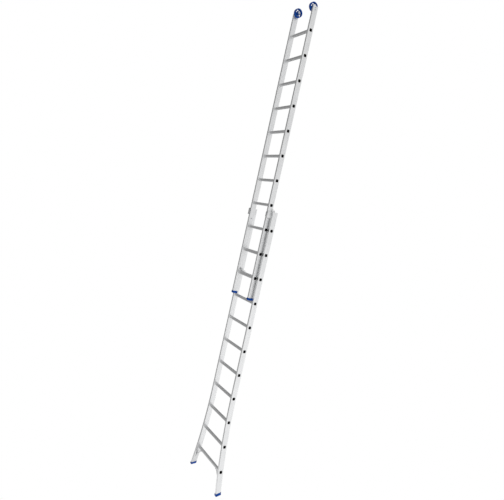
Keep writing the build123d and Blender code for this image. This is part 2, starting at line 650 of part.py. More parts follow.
def make_hook(name, side):
    """Pivoted hook that drops over a lower rung: a boss, an arm over the rung and a nose behind it."""
    inner_x = UPPER_INNER_X - HOOK_STANDOFF - HOOK_THICKNESS
    seat_z = UPPER_FIRST_Z + RUNG_HALF + TREAD_RIB_HEIGHT + HOOK_SEAT
    throat_front = LOWER_Y - RUNG_HALF - HOOK_FRONT_GAP
    neck_y = 0.6 * HOOK_BOSS_RADIUS
    neck_z = 0.8 * HOOK_BOSS_RADIUS
    throat_rear = LOWER_Y + RUNG_HALF + HOOK_REAR_GAP
    nose_rear = throat_rear + HOOK_NOSE_WIDTH
    nose_z = seat_z - HOOK_NOSE_DROP
    with BuildPart() as hook:
        with BuildSketch(Plane.YZ.offset(side * inner_x)):
            with BuildLine():
                Polyline(
                    (HOOK_Y - neck_y, HOOK_Z - neck_z),
                    (throat_front, seat_z),
                    (throat_rear, seat_z),
                    (throat_rear, nose_z),
                    (nose_rear, nose_z),
                    (nose_rear, seat_z + HOOK_ARM * 0.7),
                    (nose_rear - HOOK_ARM, seat_z + HOOK_ARM),
                    (throat_front + HOOK_ARM, seat_z + HOOK_ARM),
                    (HOOK_Y + neck_y, HOOK_Z + neck_z),
                    close=True,
                )
            make_face()
            fillet(vertices().group_by(Axis.X)[-1], HOOK_CORNER)
            with Locations((HOOK_Y, HOOK_Z)):
                Circle(HOOK_BOSS_RADIUS)
                Circle(HOOK_PIVOT_RADIUS + RUNNING_GAP, mode=Mode.SUBTRACT)
        extrude(amount=side * HOOK_THICKNESS)
    finish(hook, name)


def make_hook_bolts():
    """Shoulder bolts the hooks turn on, each with a flange against the stile."""
    outer_x = UPPER_INNER_X - HOOK_STANDOFF
    inner_x = outer_x - HOOK_THICKNESS
    tip_x = UPPER_OUTER_X + NUT_THICKNESS + THREAD_END
    with BuildPart() as bolts:
        for side in SIDES.values():
            head_x = inner_x - END_PLAY
            pin(side, head_x - HOOK_HEAD_THICKNESS, head_x, HOOK_Y, HOOK_Z, HOOK_FLANGE_RADIUS)
            pin(side, head_x, outer_x + END_PLAY, HOOK_Y, HOOK_Z, HOOK_PIVOT_RADIUS)
            pin(side, outer_x + END_PLAY, UPPER_INNER_X, HOOK_Y, HOOK_Z, HOOK_FLANGE_RADIUS)
            pin(side, UPPER_INNER_X, tip_x, HOOK_Y, HOOK_Z, BOLT_RADIUS)
    finish(bolts, "hook_bolts")


def brace_points(side):
    """Middle line of a brace, from its tab on the stile to its tab under the lowest rung."""
    gap = BRACE_THICKNESS / 2 + BRACE_GAP
    tab_z = BRACE_STILE_Z - BRACE_TAB
    under_z = FIRST_RUNG_Z - RUNG_HALF - TREAD_RIB_HEIGHT - gap
    stile_x = wall_x(LOWER_INNER_X, BRACE_STILE_Z) - gap
    reach_x = stile_x - BRACE_REACH
    return [
        (side * (wall_x(LOWER_INNER_X, tab_z) - gap), tab_z),
        (side * stile_x, BRACE_STILE_Z),
        (side * reach_x, under_z),
        (side * (reach_x - BRACE_TAB), under_z),
    ]


def rung_rivet_x(side):
    """Place across the ladder of the rivet that holds a brace's tab under the lowest rung."""
    points = brace_points(side)
    return (points[2][0] + points[3][0]) / 2


def make_brace(name, side):
    """Bent flat bar from a lower stile's foot up to the underside of the lowest rung."""
    points = brace_points(side)
    stile_tab_z = BRACE_STILE_Z - BRACE_TAB / 2
    bore = RIVET_RADIUS + RUNNING_GAP
    with BuildPart() as brace:
        with BuildSketch(Plane.XZ.offset(-LOWER_Y)):
            with BuildLine():
                FilletPolyline(*points, radius=BRACE_BEND)
            trace(line_width=BRACE_THICKNESS)
        extrude(amount=BRACE_WIDTH / 2, both=True)
        pin(side, 0, LOWER_WIDTH, LOWER_Y, stile_tab_z, bore, mode=Mode.SUBTRACT)
        with BuildSketch(Plane.XY.offset(points[2][1] - BRACE_THICKNESS)):
            with Locations((rung_rivet_x(side), LOWER_Y)):
                Circle(bore)
        extrude(amount=2 * BRACE_THICKNESS, mode=Mode.SUBTRACT)
    finish(brace, name)


def make_brace_rivets():
    """Blind rivets through the braces' tabs into the stiles and up into the lowest rung."""
    stile_tab_z = BRACE_STILE_Z - BRACE_TAB / 2
    gap = BRACE_THICKNESS + 2 * BRACE_GAP
    with BuildPart() as rivets:
        for side in SIDES.values():
            face_x = wall_x(LOWER_INNER_X, stile_tab_z + RIVET_HEAD_RADIUS) - gap
            tail_x = wall_x(LOWER_INNER_X, stile_tab_z) + STILE_WALL + RIVET_TAIL_GAP
            pin(side, face_x - RIVET_HEAD_THICKNESS, face_x, LOWER_Y, stile_tab_z, RIVET_HEAD_RADIUS)
            pin(side, face_x, tail_x, LOWER_Y, stile_tab_z, RIVET_RADIUS)
            pin(side, tail_x, tail_x + RIVET_TAIL_LENGTH, LOWER_Y, stile_tab_z, RIVET_TAIL_RADIUS)
            low_z = brace_points(side)[2][1] - BRACE_THICKNESS / 2
            inside_z = FIRST_RUNG_Z - RUNG_HALF + RUNG_WALL
            levels = (
                (low_z - RIVET_HEAD_THICKNESS, low_z, RIVET_HEAD_RADIUS),
                (low_z, inside_z, RIVET_RADIUS),
                (inside_z, inside_z + RIVET_TAIL_LENGTH, RIVET_TAIL_RADIUS),
            )
            for from_z, to_z, radius in levels:
                with BuildSketch(Plane.XY.offset(from_z)):
                    with Locations((rung_rivet_x(side), LOWER_Y)):
                        Circle(radius)
                extrude(amount=to_z - from_z)
    finish(rivets, "brace_rivets")


# The lower section
bolt_bore = BOLT_RADIUS + RUNNING_GAP
rivet_bore = RIVET_RADIUS + RUNNING_GAP
guide_bores = [
    (LOWER_Y + offset, LOWER_TOP_Z - drop, rivet_bore, False)
    for offset in GUIDE_RIVET_OFFSETS
    for drop in GUIDE_RIVET_DROPS
]
lower_bores = [*guide_bores, (LOWER_Y, BRACE_STILE_Z - BRACE_TAB / 2, rivet_bore, False)]
wheel_bolt_spots = [(UPPER_Y, UPPER_TOP_RUNG_Z + rise) for rise in WHEEL_BOLT_RISES]
stop_spots = [(UPPER_Y, STOP_Z)]
hook_spots = [(HOOK_Y, HOOK_Z)]
upper_bores = [(y, z, bolt_bore, True) for y, z in (*wheel_bolt_spots, *stop_spots, *hook_spots)]

for label, side in SIDES.items():
    lower = f"lower_stile_{label}", side, LOWER_INNER_X, LOWER_Y, 0, LOWER_TOP_Z
    upper = f"upper_stile_{label}", side, UPPER_INNER_X, UPPER_Y, UPPER_BOTTOM_Z, UPPER_TOP_Z
    make_stile(*lower, floor_plane(FOOT_SOLE), LOWER_RUNGS_Z, lower_bores)
    make_stile(*upper, Plane.XY.offset(UPPER_BOTTOM_Z), UPPER_RUNGS_Z, upper_bores)
    make_foot(f"foot_{label}", side)
    make_end_cap(f"end_cap_{label}", side)
    make_brace(f"brace_{label}", side)
    make_guide_bracket(f"guide_bracket_{label}", side)
    make_guide_pad(f"guide_pad_{label}", side)
    make_wheel_bracket(f"wheel_bracket_{label}", side)
    make_axle(f"axle_{label}", side)
    make_wheel(f"wheel_{label}", side)
    make_bush(f"wheel_bush_{label}", side)
    make_hook(f"hook_{label}", side)

brace_rivets_x = [rung_rivet_x(side) for side in SIDES.values()]
make_rung("lower_rung_01", LOWER_INNER_X, LOWER_Y, FIRST_RUNG_Z, brace_rivets_x)
for index, z in enumerate(LOWER_RUNGS_Z[1:], start=2):
    make_rung(f"lower_rung_{index:02}", LOWER_INNER_X, LOWER_Y, z, [])
for index, z in enumerate(UPPER_RUNGS_Z, start=1):
    make_rung(f"upper_rung_{index:02}", UPPER_INNER_X, UPPER_Y, z, [])
make_rung_plugs("lower_rung_plugs", LOWER_INNER_X, LOWER_Y, LOWER_RUNGS_Z)
make_rung_plugs("upper_rung_plugs", UPPER_INNER_X, UPPER_Y, UPPER_RUNGS_Z)

make_guide_rivets()
make_brace_rivets()
make_axle_washers()
make_axle_nuts()
nut_end_x = UPPER_OUTER_X + NUT_THICKNESS
thread_x = nut_end_x + THREAD_END
make_bolts("wheel_bracket_bolts", BRACKET_INNER_X, thread_x, wheel_bolt_spots, LOW_HEAD_THICKNESS, 0)
make_nuts("wheel_bracket_nuts", UPPER_OUTER_X, nut_end_x, wheel_bolt_spots)
stop_tip_x = UPPER_INNER_X - NUT_THICKNESS - THREAD_END
make_bolts("stop_bolts", UPPER_OUTER_X, stop_tip_x, stop_spots, BOLT_HEAD_THICKNESS, 6)
make_nuts("stop_nuts", UPPER_INNER_X - NUT_THICKNESS, UPPER_INNER_X, stop_spots)
make_hook_bolts()
make_nuts("hook_nuts", UPPER_OUTER_X, nut_end_x, hook_spots)
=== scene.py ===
"""Looks of the two-section extension ladder: finishes, moulded fittings, fasteners, studio and camera."""
import json
import math

import bmesh
import bpy
from mathutils import Matrix, Vector


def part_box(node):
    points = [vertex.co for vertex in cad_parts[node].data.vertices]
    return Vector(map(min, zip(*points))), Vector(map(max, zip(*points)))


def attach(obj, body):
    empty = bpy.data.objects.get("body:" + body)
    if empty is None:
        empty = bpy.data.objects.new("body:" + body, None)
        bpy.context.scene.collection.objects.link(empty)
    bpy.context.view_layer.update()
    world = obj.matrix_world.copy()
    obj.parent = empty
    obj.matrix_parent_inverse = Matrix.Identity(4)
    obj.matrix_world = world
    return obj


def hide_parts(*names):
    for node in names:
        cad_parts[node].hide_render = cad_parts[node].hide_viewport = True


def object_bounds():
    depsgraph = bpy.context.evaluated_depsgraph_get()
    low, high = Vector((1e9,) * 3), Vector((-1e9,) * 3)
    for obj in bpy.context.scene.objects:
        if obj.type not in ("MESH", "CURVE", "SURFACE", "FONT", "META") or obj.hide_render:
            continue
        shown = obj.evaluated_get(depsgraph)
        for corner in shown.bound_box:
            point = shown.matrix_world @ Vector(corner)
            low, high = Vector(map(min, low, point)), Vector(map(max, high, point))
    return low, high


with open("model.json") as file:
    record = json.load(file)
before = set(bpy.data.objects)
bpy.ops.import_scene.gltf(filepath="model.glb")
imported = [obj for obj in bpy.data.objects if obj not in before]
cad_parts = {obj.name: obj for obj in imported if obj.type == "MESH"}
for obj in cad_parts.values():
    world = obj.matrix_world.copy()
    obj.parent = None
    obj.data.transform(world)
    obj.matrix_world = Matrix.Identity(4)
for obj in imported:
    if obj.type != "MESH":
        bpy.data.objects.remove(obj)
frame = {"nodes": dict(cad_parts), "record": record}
cad_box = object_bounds()

MM = 0.001
SIDES = {"left": -1, "right": 1}

# Camera, in the ladder's own frame
CAMERA_PLACE = Vector((4.7789, -2.9863, 3.1124))
CAMERA_YAW = 1.0150
CAMERA_PITCH = -0.0558
CAMERA_ROLL = 0.2193
CAMERA_LENS = 34.785
CAMERA_SENSOR = 36.0
CAMERA_CLIP = (0.05, 1000.0)

# Studio
FLOOR_RADIUS = 150.0
FLOOR_SIDES = 96
FLOOR_DROP = 0.3 * MM
BRIGHT_SIDE = (0.85, 0.53, 0.0)
DOME_DARK = 0.30
DOME_BRIGHT = 0.80
DOME_SPREAD = (-0.55, 0.65)
# The floor glows: these are the levels of its light, stronger towards BRIGHT_SIDE.
FLOOR_DARK = 0.40
FLOOR_BRIGHT = 1.05
FLOOR_SPREAD = (-1.2, 0.45)
OVERHEAD_STRENGTH = 0.5
OVERHEAD_SPREAD = math.radians(100)
OVERHEAD_TILT = (math.radians(12), math.radians(14), 0)

# Stiles
STILE_WIDTH = 25.0 * MM
STILE_DEPTH = 65.0 * MM
STILE_CORNER = 4.0 * MM
LOWER_OUTER_X = 237.0 * MM
FLARE_TOP_Z = 1085.0 * MM
FLARE_RADIUS = 4850.0 * MM

# Feet, end caps and rung plugs
LEAN_ANGLE = math.radians(15)
FOOT_HEIGHT = 30.0 * MM
FOOT_WALL = 3.0 * MM
FOOT_CORNER = 6.0 * MM
TOE_RADIUS = 12.0 * MM
HEEL_RADIUS = 8.0 * MM
TREAD_DEPTH = 2.0 * MM
TREAD_GROOVE = 3.0 * MM
TREAD_PITCH = 10.0 * MM
TREAD_BARS = 6
TREAD_END = 1.6 * MM
TREAD_STEPS = 10
CAP_HEIGHT = 27.0 * MM
CAP_SOLE = 10.0 * MM
CAP_FRONT_RADIUS = 11.0 * MM
CAP_REAR_RADIUS = 9.0 * MM
CAP_CORNER = 5.0 * MM
FOOT_RIBS = (5.0 * MM, 24.5 * MM)
CAP_RIBS = (6.0 * MM, 21.0 * MM)
RIB_FADE = 1.0 * MM
RIB_PITCH = 5.0 * MM
RIB_DEPTH = 0.9 * MM
RIB_SAMPLE = 0.8 * MM
CORNER_STEPS = 6
PLUG_HALF = 16.5 * MM
PLUG_SECTIONS = (  # place along X from the flange's face, half width, corner radius, in mm
    (-10.0, 11.8, 5.4),
    (-9.6, 12.3, 5.9),
    (-1.4, 12.3, 5.9),
    (-1.4, 16.3, 9.8),
    (-0.9, 16.5, 10.0),
    (-0.35, 16.3, 9.8),
    (-0.08, 15.8, 9.3),
    (0, 15.0, 8.5),
    (0, 12.4, 6.6),
    (-0.15, 12.0, 6.2),
    (-0.6, 11.6, 5.8),
    (-0.5, 5.0, 4.9),
    (-0.35, 1.5, 1.4),
)

# Wheels
WHEEL_RIM = 9.0 * MM
WHEEL_SHOULDER = 3.0 * MM
WHEEL_SHOULDER_STEPS = 5
WHEEL_CROWN = 0.3 * MM
WHEEL_WEB = 14.0 * MM
WHEEL_HUB_RADIUS = 17.0 * MM
WHEEL_GROOVE = 2.0 * MM
WHEEL_GROOVE_DEPTH = 1.6 * MM
WHEEL_GROOVE_X = 6.5 * MM
WHEEL_STEPS = 128
SPOKE_COUNT = 7
SPOKE_WIDTH = 7.0 * MM
SPOKE_FLARE = 2.5 * MM
SPOKE_CORNER = 2.2 * MM
SPOKE_ROOT = 2.0 * MM  # sunk into the hub
SPOKE_TIP = 1.0 * MM  # sunk into the rim
SPOKE_STEPS = 14

# Fasteners
NUT_CORNER = 6.5 * MM
LOW_HEAD = 2.5 * MM
HEX_HEAD = 5.5 * MM
PIVOT_HEAD = 5.0 * MM
PIVOT_BEARING = 8.8 * MM
PIVOT_SEAT = 17.9 * MM
PIVOT_RADIUS = 5.0 * MM
PIVOT_FLANGE_RADIUS = 9.0 * MM
PIVOT_SOCKET = 4.05 * MM
PIVOT_HEAD_EASE = 0.3 * MM
PIVOT_FLANGE_EASE = 0.4 * MM
AXLE_RADIUS = 8.0 * MM
AXLE_THREAD = 11.0 * MM
AXLE_THREAD_RADIUS = 6.0 * MM
AXLE_NUT_CORNER = 10.0 * MM
AXLE_COLLAR = 3.6 * MM
AXLE_COLLAR_RADIUS = 13.0 * MM
AXLE_RIVETED = 5.0 * MM
AXLE_EASE = 0.5 * MM
RIVET_RADIUS = 2.4 * MM
RIVET_HEAD_RADIUS = 4.8 * MM
RIVET_HEAD_THICKNESS = 1.6 * MM
RIVET_TAIL_RADIUS = 3.4 * MM
RIVET_TAIL_LENGTH = 4.0 * MM
SHANK_RADIUS = 4.0 * MM
THREAD_PITCH = 1.25 * MM
THREAD_DEPTH = 0.5 * MM
THREAD_CREST = 1.25  # above 1, so that the crests are flat
THREAD_TIP = 0.75 * MM
THREAD_TIP_DEPTH = 0.6 * MM
THREAD_RINGS = 6  # rings in one pitch
THREAD_SHOWN = 7.0 * MM
THREAD_RELIEF = 0.3 * MM
ROUND_STEPS = 48

# Mesh finishing
MERGE_DISTANCE = 0.001 * MM
WELD_DISTANCE = 0.002 * MM
EDGE_SEGMENTS = 3
EDGE_ANGLE = math.radians(32)
SMOOTH_ANGLE = math.radians(35)

# Materials
NOISE_RANGE = (0.35, 0.65)  # nearly all of a noise pattern's values lie between these
WORN_AND_HIGHLIT_RANGE = (0.97, 0.80)  # a softened normal against the true one, from flat to worn edges with a painted highlight
# Pale colour for edges: partly worn metal, partly a painted highlight.
RUBBED_AND_HIGHLIT = (0.80, 0.80, 0.80)
ALONG_STILE = (1, 1, 0.006)
ALONG_RUNG = (0.006, 1, 1)


# ---------------------------------------------------------------- node materials


def node(tree, kind, inputs=None, **settings):
    """New shader node; each input is a fixed value or another node's socket."""
    made = tree.nodes.new(kind)
    for key, value in settings.items():
        setattr(made, key, value)
    for key, value in (inputs or {}).items():
        if isinstance(value, bpy.types.NodeSocket):
            tree.links.new(value, made.inputs[key])
        else:
            made.inputs[key].default_value = value
    return made


def surface(name):
    """New material with a Principled shader; returns the material, its tree and the shader."""
    material = bpy.data.materials.new(name)
    material.use_nodes = True
    tree = material.node_tree
    tree.nodes.clear()
    shader = node(tree, "ShaderNodeBsdfPrincipled")
    output = node(tree, "ShaderNodeOutputMaterial")
    tree.links.new(shader.outputs["BSDF"], output.inputs["Surface"])
    return material, tree, shader


def pattern(tree, scale, stretch=(1, 1, 1), detail=4.0, rough=0.55):
    """Noise over the piece's own space, drawn out where stretch is under 1."""
    place = node(tree, "ShaderNodeTexCoord")
    spread = node(
        tree, "ShaderNodeMapping", {"Vector": place.outputs["Object"], "Scale": stretch}
    )
    noise = node(
        tree,
        "ShaderNodeTexNoise",
        {"Vector": spread.outputs[0], "Scale": scale, "Detail": detail, "Roughness": rough},
    )
    return noise.outputs["Fac"]


def remap(tree, value, low, high, new_low, new_high):
    """Smooth step of a value from one range to another."""
    made = node(
        tree,
        "ShaderNodeMapRange",
        {
            "Value": value,
            "From Min": low,
            "From Max": high,
            "To Min": new_low,
            "To Max": new_high,
        },
        interpolation_type="SMOOTHSTEP",
    )
    return made.outputs["Result"]


def blend_colour(tree, factor, first, second):
    """Colour between two, by a factor."""
    made = node(tree, "ShaderNodeMix", {"Factor": factor}, data_type="RGBA")
    for index, value in ((6, first), (7, second)):
        if isinstance(value, bpy.types.NodeSocket):
            tree.links.new(value, made.inputs[index])
        else:
            made.inputs[index].default_value = (*value, 1.0)
    return made.outputs[2]


def combine(tree, operation, first, second):
    """Arithmetic on two values."""
    made = node(tree, "ShaderNodeMath", {0: first, 1: second}, operation=operation)
    return made.outputs[0]


def weighted(tree, *terms):
    """Sum of values, each times its weight."""
    total = combine(tree, "MULTIPLY", *terms[0])
    for value, weight in terms[1:]:
        total = combine(tree, "ADD", total, combine(tree, "MULTIPLY", value, weight))
    return total


def worn_and_highlit_edges(tree, radius):
    """1 on edges and corners, which are lightened partly for wear and partly as a painted highlight, 0 on
    flat faces.
    """
    softened = node(tree, "ShaderNodeBevel", {"Radius": radius}, samples=4)
    plain = node(tree, "ShaderNodeNewGeometry")
    likeness = node(
        tree,
        "ShaderNodeVectorMath",
        {0: softened.outputs["Normal"], 1: plain.outputs["Normal"]},
        operation="DOT_PRODUCT",
    )
    return remap(tree, likeness.outputs["Value"], *WORN_AND_HIGHLIT_RANGE, 0.0, 1.0)


def bump(tree, shader, height, strength, distance):
    """Relief on a shader's normal."""
    made = node(
        tree,
        "ShaderNodeBump",
        {"Strength": strength, "Distance": distance, "Height": height},
    )
    tree.links.new(made.outputs["Normal"], shader.inputs["Normal"])


def extruded_metal(name, light, dark, stretch, smooth, coarse):
    """Drawn or extruded aluminium: die lines along the length, faint stains, and paler edges that are
    partly worn and partly a painted highlight.
    """
    material, tree, shader = surface(name)
    lines = pattern(tree, scale=1400.0, stretch=stretch, detail=3.0)
    bands = pattern(tree, scale=150.0, stretch=stretch, detail=2.0)
    stains = pattern(tree, scale=7.0, detail=5.0, rough=0.6)
    rubbed_and_highlit = pattern(tree, scale=60.0, detail=6.0, rough=0.7)
    tone = weighted(tree, (bands, 0.45), (lines, 0.2), (stains, 0.35))
    colour = blend_colour(tree, remap(tree, tone, *NOISE_RANGE, 0.0, 1.0), dark, light)
    patches = remap(tree, rubbed_and_highlit, low=0.4, high=0.6, new_low=0.3, new_high=1.0)
    # Edges and corners lightened towards the pale colour: partly worn, partly a painted highlight.
    wear_and_highlight = combine(tree, "MULTIPLY", worn_and_highlit_edges(tree, 1.2 * MM), patches)
    tree.links.new(blend_colour(tree, wear_and_highlight, colour, RUBBED_AND_HIGHLIT), shader.inputs["Base Color"])
    haze = weighted(tree, (lines, 0.5), (stains, 0.5))
    tree.links.new(remap(tree, haze, *NOISE_RANGE, smooth, coarse), shader.inputs["Roughness"])
    bump(tree, shader, lines, strength=0.12, distance=0.05 * MM)
    shader.inputs["Metallic"].default_value = 1.0
    return material


def plain_metal(name, light, dark, grain, smooth, coarse, tint=None):
    """Pressed, turned or plated metal with an even grain."""
    material, tree, shader = surface(name)
    fine = pattern(tree, scale=grain, detail=4.0)
    broad = pattern(tree, scale=grain / 25.0, detail=4.0, rough=0.65)
    tone = weighted(tree, (fine, 0.4), (broad, 0.6))
    colour = blend_colour(tree, remap(tree, tone, *NOISE_RANGE, 0.0, 1.0), dark, light)
    if tint:
        hue = pattern(tree, scale=grain / 8.0, detail=2.0)
        tinted = remap(tree, hue, low=0.45, high=0.7, new_low=0.0, new_high=0.45)
        colour = blend_colour(tree, tinted, colour, tint)
    # Edges and corners lightened towards the pale tone: partly worn, partly a painted highlight.
    wear_and_highlight = combine(tree, "MULTIPLY", worn_and_highlit_edges(tree, 0.8 * MM), 0.6)
    tree.links.new(blend_colour(tree, wear_and_highlight, colour, light), shader.inputs["Base Color"])
    tree.links.new(remap(tree, tone, *NOISE_RANGE, smooth, coarse), shader.inputs["Roughness"])
    bump(tree, shader, fine, strength=0.2, distance=0.04 * MM)
    shader.inputs["Metallic"].default_value = 1.0
    return material


def moulded_plastic(name, deep, bright, scuffed_and_highlit, smooth, coarse, shine=0.5):
    """Moulded plastic: spark-eroded texture, faint flow marks, pale specks, and paler edges that are
    partly worn and partly a painted highlight.
    """
    material, tree, shader = surface(name)
    fine = pattern(tree, scale=3200.0, detail=3.0)
    flow = pattern(tree, scale=45.0, stretch=(1, 1, 0.4), detail=3.0)
    scuffs = pattern(tree, scale=420.0, stretch=(1, 0.25, 1), detail=6.0, rough=0.75)
    colour = blend_colour(tree, remap(tree, flow, *NOISE_RANGE, 0.0, 1.0), deep, bright)
    patches = remap(tree, scuffs, low=0.42, high=0.62, new_low=0.1, new_high=0.8)
    # Edges and corners lightened towards the pale colour: partly worn, partly a painted highlight; the
    # specks are dust.
    wear_and_highlight = combine(tree, "MULTIPLY", worn_and_highlit_edges(tree, 1.0 * MM), patches)
    specks = remap(tree, scuffs, low=0.68, high=0.80, new_low=0.0, new_high=0.35)
    dusty_and_highlit = combine(tree, "MAXIMUM", wear_and_highlight, specks)
    tree.links.new(blend_colour(tree, dusty_and_highlit, colour, scuffed_and_highlit), shader.inputs["Base Color"])
    haze = weighted(tree, (fine, 0.4), (scuffs, 0.6))
    tree.links.new(remap(tree, haze, *NOISE_RANGE, smooth, coarse), shader.inputs["Roughness"])
    bump(tree, shader, fine, strength=0.3, distance=0.05 * MM)
    shader.inputs["Specular IOR Level"].default_value = shine
    return material


# The pale edge colour of each finish stands partly for wear and partly for a painted highlight.
FINISHES = {
    "stile_aluminium": extruded_metal(
        "stile_aluminium",
        light=(0.83, 0.835, 0.84),
        dark=(0.75, 0.755, 0.76),
        stretch=ALONG_STILE,
        smooth=0.32,
        coarse=0.42,
    ),
    "rung_aluminium": extruded_metal(
        "rung_aluminium",
        light=(0.78, 0.785, 0.79),
        dark=(0.68, 0.685, 0.69),
        stretch=ALONG_RUNG,
        smooth=0.34,
        coarse=0.46,
    ),
    "fitting_aluminium": plain_metal(
        "fitting_aluminium",
        light=(0.80, 0.805, 0.81),
        dark=(0.66, 0.665, 0.67),
        grain=900.0,
        smooth=0.34,
        coarse=0.48,
    ),
    "rivet_aluminium": plain_metal(
        "rivet_aluminium",
        light=(0.84, 0.84, 0.85),
        dark=(0.70, 0.70, 0.71),
        grain=1400.0,
        smooth=0.28,
        coarse=0.40,
    ),
    "zinc_steel": plain_metal(
        "zinc_steel",
        light=(0.66, 0.68, 0.70),
        dark=(0.48, 0.50, 0.52),
        grain=1200.0,
        smooth=0.26,
        coarse=0.42,
        tint=(0.62, 0.60, 0.50),
    ),
    "blue_plastic": moulded_plastic(
        "blue_plastic",
        deep=(0.0003, 0.046, 0.25),
        bright=(0.0008, 0.074, 0.39),
        scuffed_and_highlit=(0.006, 0.16, 0.50),
        smooth=0.42,
        coarse=0.56,
        shine=0.14,
    ),
    "black_plastic": moulded_plastic(
        "black_plastic",
        deep=(0.0010, 0.0010, 0.0010),
        bright=(0.002, 0.002, 0.0021),
        scuffed_and_highlit=(0.009, 0.009, 0.0095),
        smooth=0.55,
        coarse=0.70,
        shine=0.05,
    ),
    "grey_plastic": moulded_plastic(
        "grey_plastic",
        deep=(0.15, 0.155, 0.16),
        bright=(0.20, 0.205, 0.21),
        scuffed_and_highlit=(0.35, 0.35, 0.36),
        smooth=0.42,
        coarse=0.58,
    ),
    "bush_brass": plain_metal(
        "bush_brass",
        light=(0.72, 0.53, 0.25),
        dark=(0.55, 0.37, 0.14),
        grain=1100.0,
        smooth=0.24,
        coarse=0.38,
    ),
}


# ---------------------------------------------------------------- mesh helpers


def bridge(bm, first, second):
    """Faces between two rings; a ring of one vertex makes a fan."""
    count = max(len(first), len(second))
    for i in range(count):
        j = (i + 1) % count
        if len(first) == 1:
            bm.faces.new((first[0], second[i], second[j]))
        elif len(second) == 1:
            bm.faces.new((first[i], first[j], second[0]))
        else:
            bm.faces.new((first[i], first[j], second[j], second[i]))


def skin(bm, rings, closed=False):
    """Closed solid over rings of points; its ends are capped, or joined to each other if closed."""
    rows = [[bm.verts.new(point) for point in ring] for ring in rings]
    pairs = list(zip(rows, rows[1:]))
    if closed:
        pairs.append((rows[-1], rows[0]))
    for first, second in pairs:
        bridge(bm, first, second)
    if not closed:
        for row in (rows[0], rows[-1]):
            if len(row) > 2:
                bm.faces.new(row)


def turned_ring(x, radius, steps=ROUND_STEPS):
    """Ring about the X axis; radius is a number or a function of the angle."""
    if radius == 0:
        return [Vector((x, 0, 0))]
    points = []
    for step in range(steps):
        angle = 2 * math.pi * step / steps
        reach = radius(angle) if callable(radius) else radius
        points.append(Vector((x, reach * math.cos(angle), reach * math.sin(angle))))
    return points


def template(rings, closed=False):
    """Mesh of a closed solid over rings of points."""
    bm = bmesh.new()
    skin(bm, rings, closed)
    bmesh.ops.recalc_face_normals(bm, faces=bm.faces)
    mesh = bpy.data.meshes.new("template")
    bm.to_mesh(mesh)
    bm.free()
    return mesh


def stamp(bm, mesh, matrix):
    """Moves a template mesh to its place, adds it to a bmesh and deletes it."""
    mesh.transform(matrix)
    bm.from_mesh(mesh)
    bpy.data.meshes.remove(mesh)


def piece(name, bm, body, slot, replaced):
    """Makes the bmesh a finished piece that rides on a CAD body and stands for CAD nodes."""
    bmesh.ops.recalc_face_normals(bm, faces=bm.faces)
    mesh = bpy.data.meshes.new(name)
    bm.to_mesh(mesh)
    bm.free()
    mesh.polygons.foreach_set("use_smooth", [True] * len(mesh.polygons))
    mesh.set_sharp_from_angle(angle=SMOOTH_ANGLE)
    mesh.materials.append(FINISHES[slot])
    made = bpy.data.objects.new(name, mesh)
    bpy.context.scene.collection.objects.link(made)
    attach(made, body)
    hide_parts(*replaced)


def solid_boxes(name):
    """Lowest and highest corner of each separate solid in a CAD node, in a fixed order."""
    bm = bmesh.new()
    bm.from_mesh(frame["nodes"][name].data)
    bmesh.ops.remove_doubles(bm, verts=bm.verts, dist=MERGE_DISTANCE)
    bm.verts.ensure_lookup_table()
    left = set(range(len(bm.verts)))
    found = []
    while left:
        pending = [min(left)]
        left.discard(pending[0])
        group = []
        while pending:
            vertex = bm.verts[pending.pop()]
            group.append(vertex.co.copy())
            for edge in vertex.link_edges:
                other = edge.other_vert(vertex).index
                if other in left:
                    left.discard(other)
                    pending.append(other)
        low = Vector([min(point[axis] for point in group) for axis in range(3)])
        high = Vector([max(point[axis] for point in group) for axis in range(3)])
        found.append((low, high))
    bm.free()
    return sorted(found, key=lambda box: tuple(round(value, 4) for value in box[0]))


def along_x(side, x, y, z):
    """Place for a template whose X axis points outwards on a side."""
    return Matrix.Translation((x, y, z)) @ Matrix.Diagonal((side, 1, 1, 1))


def smooth_shading():
    """Node group that shades faces smooth, for a modifier."""
    group = bpy.data.node_groups.new("smooth_shading", "GeometryNodeTree")
    for in_out in ("INPUT", "OUTPUT"):
        group.interface.new_socket("Geometry", in_out=in_out, socket_type="NodeSocketGeometry")
    entry = group.nodes.new("NodeGroupInput")
    smooth = group.nodes.new("GeometryNodeSetShadeSmooth")
    result = group.nodes.new("NodeGroupOutput")
    group.links.new(entry.outputs[0], smooth.inputs["Geometry"])
    group.links.new(smooth.outputs["Geometry"], result.inputs[0])
    return group


def round_edges(cad_object, width, shading):
    """Joins a CAD node's split faces and rounds its edges, all with modifiers."""
    weld = cad_object.modifiers.new("weld", "WELD")
    weld.merge_threshold = WELD_DISTANCE
    shade = cad_object.modifiers.new("shade", "NODES")
    shade.node_group = shading
    bevel = cad_object.modifiers.new("bevel", "BEVEL")
    bevel.width = width
    bevel.segments = EDGE_SEGMENTS
    bevel.limit_method = "ANGLE"
    bevel.angle_limit = EDGE_ANGLE
    bevel.use_clamp_overlap = True
    bevel.harden_normals = True


# ---------------------------------------------------------------- fasteners


def hexagon(across_corners, limit):
    """Radius of a hexagon against the angle, cut off by a cone of radius limit."""
    apothem = across_corners * math.cos(math.pi / 6)

    def radius(angle):
        turn = (angle + math.pi / 6) % (math.pi / 3) - math.pi / 6
        return min(apothem / math.cos(turn), limit)

    return radius


def flipped(rings):
    """Rings in the reverse order and mirrored in X."""
    return [[Vector((-point.x, point.y, point.z)) for point in ring] for ring in reversed(rings)]


